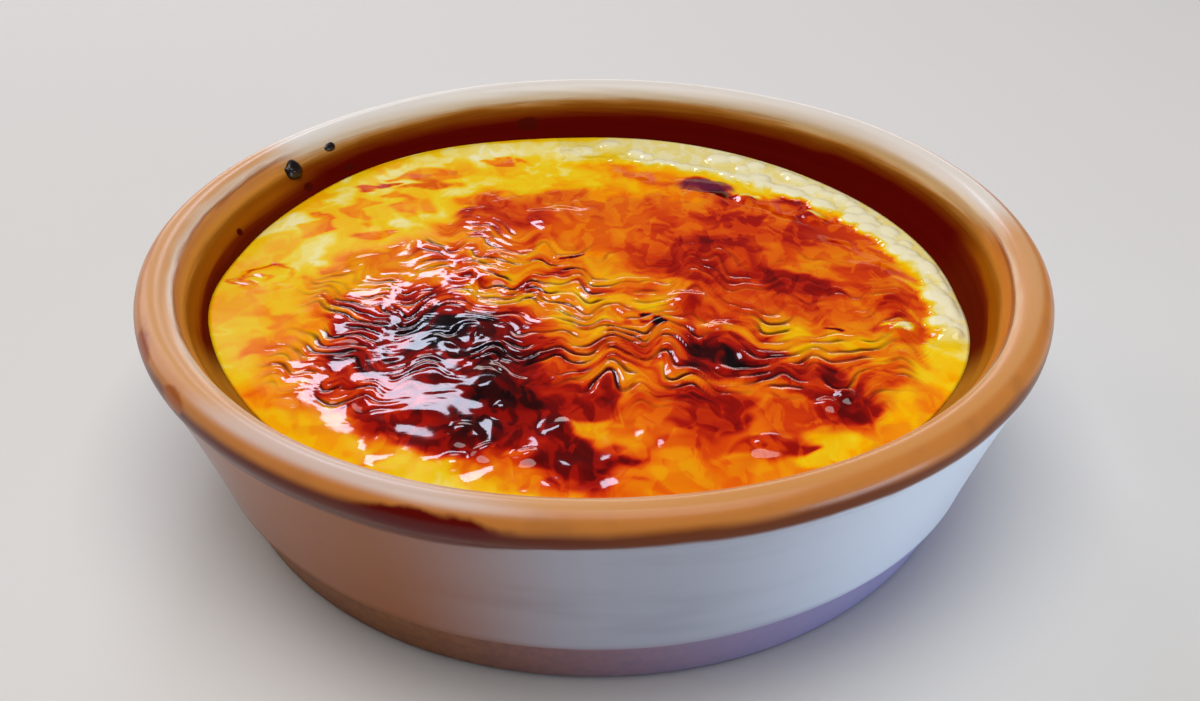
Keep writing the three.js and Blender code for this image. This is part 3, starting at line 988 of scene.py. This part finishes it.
class CREMEBRULEE_OT_spatter(bpy.types.Operator):
    """Add the beads of burnt sugar that spat on the flare"""

    bl_idname = "creme_brulee.spatter"
    bl_label = "Add Spatter"

    def execute(self, context):
        dish = context.scene.brulee_dish
        beads = [self.bead(dish, *sizes) for sizes in SPATTER]
        for bead in beads:
            bead.select_set(True)
        bpy.context.view_layer.objects.active = beads[0]
        bpy.ops.object.join()
        piece = bpy.context.object
        piece.data.materials.append(burnt_sugar_material())
        bpy.ops.object.shade_smooth()
        finish_piece(piece, "burnt_spatter", "caramelised_custard", "dish")
        return {"FINISHED"}

    def bead(self, dish, bearing, height, long, wide):
        """One bead, long round the rim, lying half sunk along the flare."""
        bearing = math.radians(bearing)
        height, long, wide = height * MM, long * MM, wide * MM
        radius = flare_radius(height, dish)
        deselect_all()
        bpy.ops.mesh.primitive_ico_sphere_add(subdivisions=4, radius=0.5)
        bpy.ops.transform.resize(value=(BEAD_THICKNESS * wide, long, wide))
        bead = bpy.context.object
        bead.rotation_euler = (0, math.atan(dish.flare), bearing)
        bead.location = (radius * math.cos(bearing), radius * math.sin(bearing), height)
        bpy.ops.object.transform_apply(location=True, rotation=True, scale=True)
        points = grid_of(bead.data)
        middle = points.mean(axis=0)
        bumps = 1 + 0.16 * noise(points[:, 0] * 1.3, points[:, 1] * 1.3 + points[:, 2], 91)
        put_grid(bead.data, middle + (points - middle) * bumps[:, None])
        return bead


# -------- the custard
def square_to_disc(a, b):
    """Maps the square from -1 to 1 on to a disc of radius 1, ring by ring."""
    radius = np.maximum(np.abs(a), np.abs(b))
    wide = np.abs(a) >= np.abs(b)
    safe_a, safe_b = np.where(a == 0, 1e-9, a), np.where(b == 0, 1e-9, b)
    turn = np.where(wide, math.pi / 4 * b / safe_a, math.pi / 2 - math.pi / 4 * a / safe_b)
    sign = np.where(wide, np.sign(a), np.sign(b))
    return radius * sign * np.cos(turn), radius * sign * np.sin(turn)


class CREMEBRULEE_OT_custard(bpy.types.Operator):
    """Fill the dish with custard under its wrinkled caramel crust"""

    bl_idname = "creme_brulee.custard"
    bl_label = "Make Custard"

    def execute(self, context):
        custard = context.scene.brulee_custard
        dish = context.scene.brulee_dish
        deselect_all()
        bpy.ops.mesh.primitive_grid_add(
            x_subdivisions=custard.cells_wide, y_subdivisions=custard.cells_deep, size=2 * MM
        )
        piece = bpy.context.object
        piece.data.materials.append(crust_material("caramelised_custard", roughness=0.07))
        piece.data.materials.append(crust_material("plain_custard", roughness=0.25, specular_ior_level=0.03))
        self.shape_surface(piece.data, custard, dish)
        self.close_below(piece, custard, dish)
        bpy.ops.object.shade_smooth()
        finish_piece(piece, "custard_crusted", "caramelised_custard", "custard")
        return {"FINISHED"}

    def shape_surface(self, mesh, custard, dish):
        places = grid_of(mesh)
        mouth = dish.mouth_radius / MM
        x, y = (part * mouth for part in square_to_disc(places[:, 0], places[:, 1]))
        strength = fold_strength(x, y)
        flat = ease(2 - reach(x, y, FLAT_TOPPED))
        folds = Folds(x, y, custard.fold_pitch / MM, -6, 0.62, 51)
        froth, beads = margin(x, y)
        bare = 1 - froth
        inland = ease((mouth - np.hypot(x, y)) / 3)
        height = crust_relief(x, y, custard, dish)
        height += bare * inland * (strength * folds.relief(custard, flat) + lumps(x, y, strength))
        height += 0.5 * beads * inland + 0.2 * froth
        cooked = toast(x, y, folds.phase, strength)
        # the froth is paler on the tops of its beads: partly the froth's colour, partly painted shading of
        # the beads
        cooked += (0.04 - 0.06 * beads - cooked) * np.maximum(froth, beads)
        # near the wall the surface is drawn out to meet it
        bearing = np.arctan2(y, x)
        wall = flare_radius(height * MM, dish) / MM + thrown(bearing, height, True) - 0.03
        fit = 1 + (wall / mouth - 1) * (np.hypot(x, y) / mouth) ** 8
        put_grid(mesh, np.column_stack((x * fit, y * fit, height)))
        # the custard shines less where no caramel covers it
        behind = (y > 7) | (x < -38)
        unblistered = (x < -44) | (blistered(x, y) < 0.15)
        plain = (froth < 0.3) & unblistered & (cooked < np.where(behind, BARE_TOAST_BEHIND, BARE_TOAST))
        corners = np.empty(len(mesh.loops), dtype=np.int32)
        mesh.loops.foreach_get("vertex_index", corners)
        plain_faces = plain[corners.reshape(-1, 4)].all(axis=1)
        mesh.polygons.foreach_set("material_index", plain_faces.astype(np.int32))
        store(mesh, "toast", cooked)
        store(mesh, "folded", strength)
        store(mesh, "fold_phase", folds.phase)
        store(mesh, "fold_rate", folds.rate)
        store(mesh, "fold_crease", folds.whole * strength * bare)

    def close_below(self, piece, custard, dish):
        """Runs the edge down the inner wall and closes it over the floor."""
        bpy.ops.object.mode_set(mode="EDIT")
        bpy.ops.mesh.select_all(action="DESELECT")
        bpy.ops.mesh.select_mode(type="EDGE")
        bpy.ops.mesh.select_non_manifold()
        knee, floor = dish.knee_height, dish.floor_thickness + custard.gap
        corner = floor + dish.floor_rounding
        flare_gap = custard.gap * math.hypot(1, dish.flare)
        rings = (
            (flare_radius(knee + dish.knee_rounding / 2, dish) - flare_gap, knee + dish.knee_rounding / 2),
            (upright_radius(knee, dish) - custard.gap, knee),
            (upright_radius(corner, dish) - custard.gap, corner),
            (upright_radius(floor, dish) - dish.floor_rounding, floor),
        )
        for radius, height in rings:
            bpy.ops.mesh.extrude_region_move()
            bpy.ops.object.mode_set(mode="OBJECT")
            places = grid_of(piece.data)
            chosen = np.zeros(len(places), dtype=bool)
            piece.data.vertices.foreach_get("select", chosen)
            ring = places[chosen]
            spread = np.hypot(ring[:, 0], ring[:, 1])[:, None]
            ring[:, :2] *= radius / MM / spread
            ring[:, 2] = height / MM
            places[chosen] = ring
            put_grid(piece.data, places)
            bpy.ops.object.mode_set(mode="EDIT")
        bpy.ops.mesh.edge_face_add()
        bpy.ops.mesh.select_all(action="SELECT")
        bpy.ops.mesh.normals_make_consistent(inside=False)
        bpy.ops.object.mode_set(mode="OBJECT")


# -------- the stage
# Softboxes: name, azimuth from straight behind, elevation, distance, width, height, brightness, colour.
SOFTBOXES = (
    ("glint_box", -14, 37.6, 0.9, 0.20, 0.14, 9.8, (0.76, 0.81, 1.0)),
    ("horizon_box", -4, 9, 1.6, 2.0, 0.34, 2.5, (1.0, 0.92, 0.92)),
    ("window_box", -56, 25, 1.3, 0.7, 0.8, 2.2, (1.0, 0.95, 0.95)),
    ("top_box", 180, 84, 1.2, 1.2, 0.8, 4.1, (1.0, 0.98, 0.95)),
    ("right_box", 122, 6, 1.0, 0.5, 0.3, 9.5, (0.60, 0.78, 1.0)),
    ("left_box", -112, 20, 1.1, 0.5, 0.6, 0.5, (1.0, 0.84, 0.66)),
)


class CREMEBRULEE_OT_stage(bpy.types.Operator):
    """Set the floor, the softboxes and the camera"""

    bl_idname = "creme_brulee.stage"
    bl_label = "Set Stage"

    def execute(self, context):
        stage = context.scene.brulee_stage
        deselect_all()
        bpy.ops.mesh.primitive_plane_add(size=8, location=(0, 0, 0))
        floor = bpy.context.object
        floor.name = "floor"
        g = Graph("pale_floor")
        tint = g.cloud(g.place(), 3, 2)
        shade = tuple(stage.floor)
        tone = g.blend(g.times(tint, 0.15), shade, tuple(0.93 * part for part in shade))
        floor.data.materials.append(g.finish(base_color=tone, roughness=0.75))
        for box in SOFTBOXES:
            self.softbox(*box)
        world = bpy.data.worlds.new("studio")
        world.use_nodes = True
        world.node_tree.nodes["Background"].inputs["Color"].default_value = (0.93, 0.95, 1.0, 1.0)
        world.node_tree.nodes["Background"].inputs["Strength"].default_value = 0.06
        context.scene.world = world
        context.scene.view_settings.view_transform = "Standard"
        self.camera(context.scene, stage)
        return {"FINISHED"}

    def softbox(self, name, azimuth, elevation, distance, width, height, brightness, tint):
        turn, rise = math.radians(azimuth), math.radians(elevation)
        away = Vector((math.sin(turn) * math.cos(rise), math.cos(turn) * math.cos(rise), math.sin(rise)))
        bpy.ops.object.light_add(type="AREA", location=away * distance)
        lamp = bpy.context.object
        lamp.name = name
        lamp.rotation_euler = away.to_track_quat("Z", "Y").to_euler()
        lamp.data.shape = "RECTANGLE"
        lamp.data.size, lamp.data.size_y = width, height
        lamp.data.energy = brightness * math.pi * width * height
        lamp.data.color = tint
        lamp.visible_camera = False

    def camera(self, scene, stage):
        aim = Vector((stage.aim_side, 0, stage.aim_height))
        back = Vector((0, -math.cos(stage.pitch), math.sin(stage.pitch)))
        spot = Vector((0, 0, stage.aim_height)) + back * stage.distance
        bpy.ops.object.camera_add(location=spot)
        camera = bpy.context.object
        turn = (spot - aim).to_track_quat("Z", "Y").to_matrix()
        camera.rotation_euler = (turn @ Matrix.Rotation(stage.roll, 3, "Z")).to_euler()
        camera.data.lens = stage.lens
        camera.data.sensor_width = 36.0
        camera.data.clip_start = 0.005
        scene.camera = camera


class CREMEBRULEE_PT_sidebar(bpy.types.Panel):
    """Lists the dessert's pieces and sizes"""

    bl_idname = "CREMEBRULEE_PT_sidebar"
    bl_label = "Creme Brulee"
    bl_space_type = "VIEW_3D"
    bl_region_type = "UI"
    bl_category = "Dessert"

    def draw(self, context):
        scene = context.scene
        for title, settings, operators in (
            ("Dish", scene.brulee_dish, ("dish", "spatter")),
            ("Custard", scene.brulee_custard, ("custard",)),
            ("Stage", scene.brulee_stage, ("stage",)),
        ):
            box = self.layout.box()
            box.label(text=title)
            for key in settings.__annotations__:
                box.prop(settings, key)
            for name in operators:
                box.operator(f"creme_brulee.{name}")


CLASSES = (
    DishSettings,
    CustardSettings,
    StageSettings,
    CREMEBRULEE_OT_dish,
    CREMEBRULEE_OT_spatter,
    CREMEBRULEE_OT_custard,
    CREMEBRULEE_OT_stage,
    CREMEBRULEE_PT_sidebar,
)


def register():
    for item in CLASSES:
        bpy.utils.register_class(item)
    bpy.types.Scene.brulee_dish = PointerProperty(type=DishSettings)
    bpy.types.Scene.brulee_custard = PointerProperty(type=CustardSettings)
    bpy.types.Scene.brulee_stage = PointerProperty(type=StageSettings)


def unregister():
    for name in ("brulee_dish", "brulee_custard", "brulee_stage"):
        delattr(bpy.types.Scene, name)
    for item in reversed(CLASSES):
        bpy.utils.unregister_class(item)


def main():
    register()
    bpy.ops.creme_brulee.stage()
    bpy.ops.creme_brulee.dish()
    bpy.ops.creme_brulee.spatter()
    bpy.ops.creme_brulee.custard()


if __name__ == "__main__":
    main()
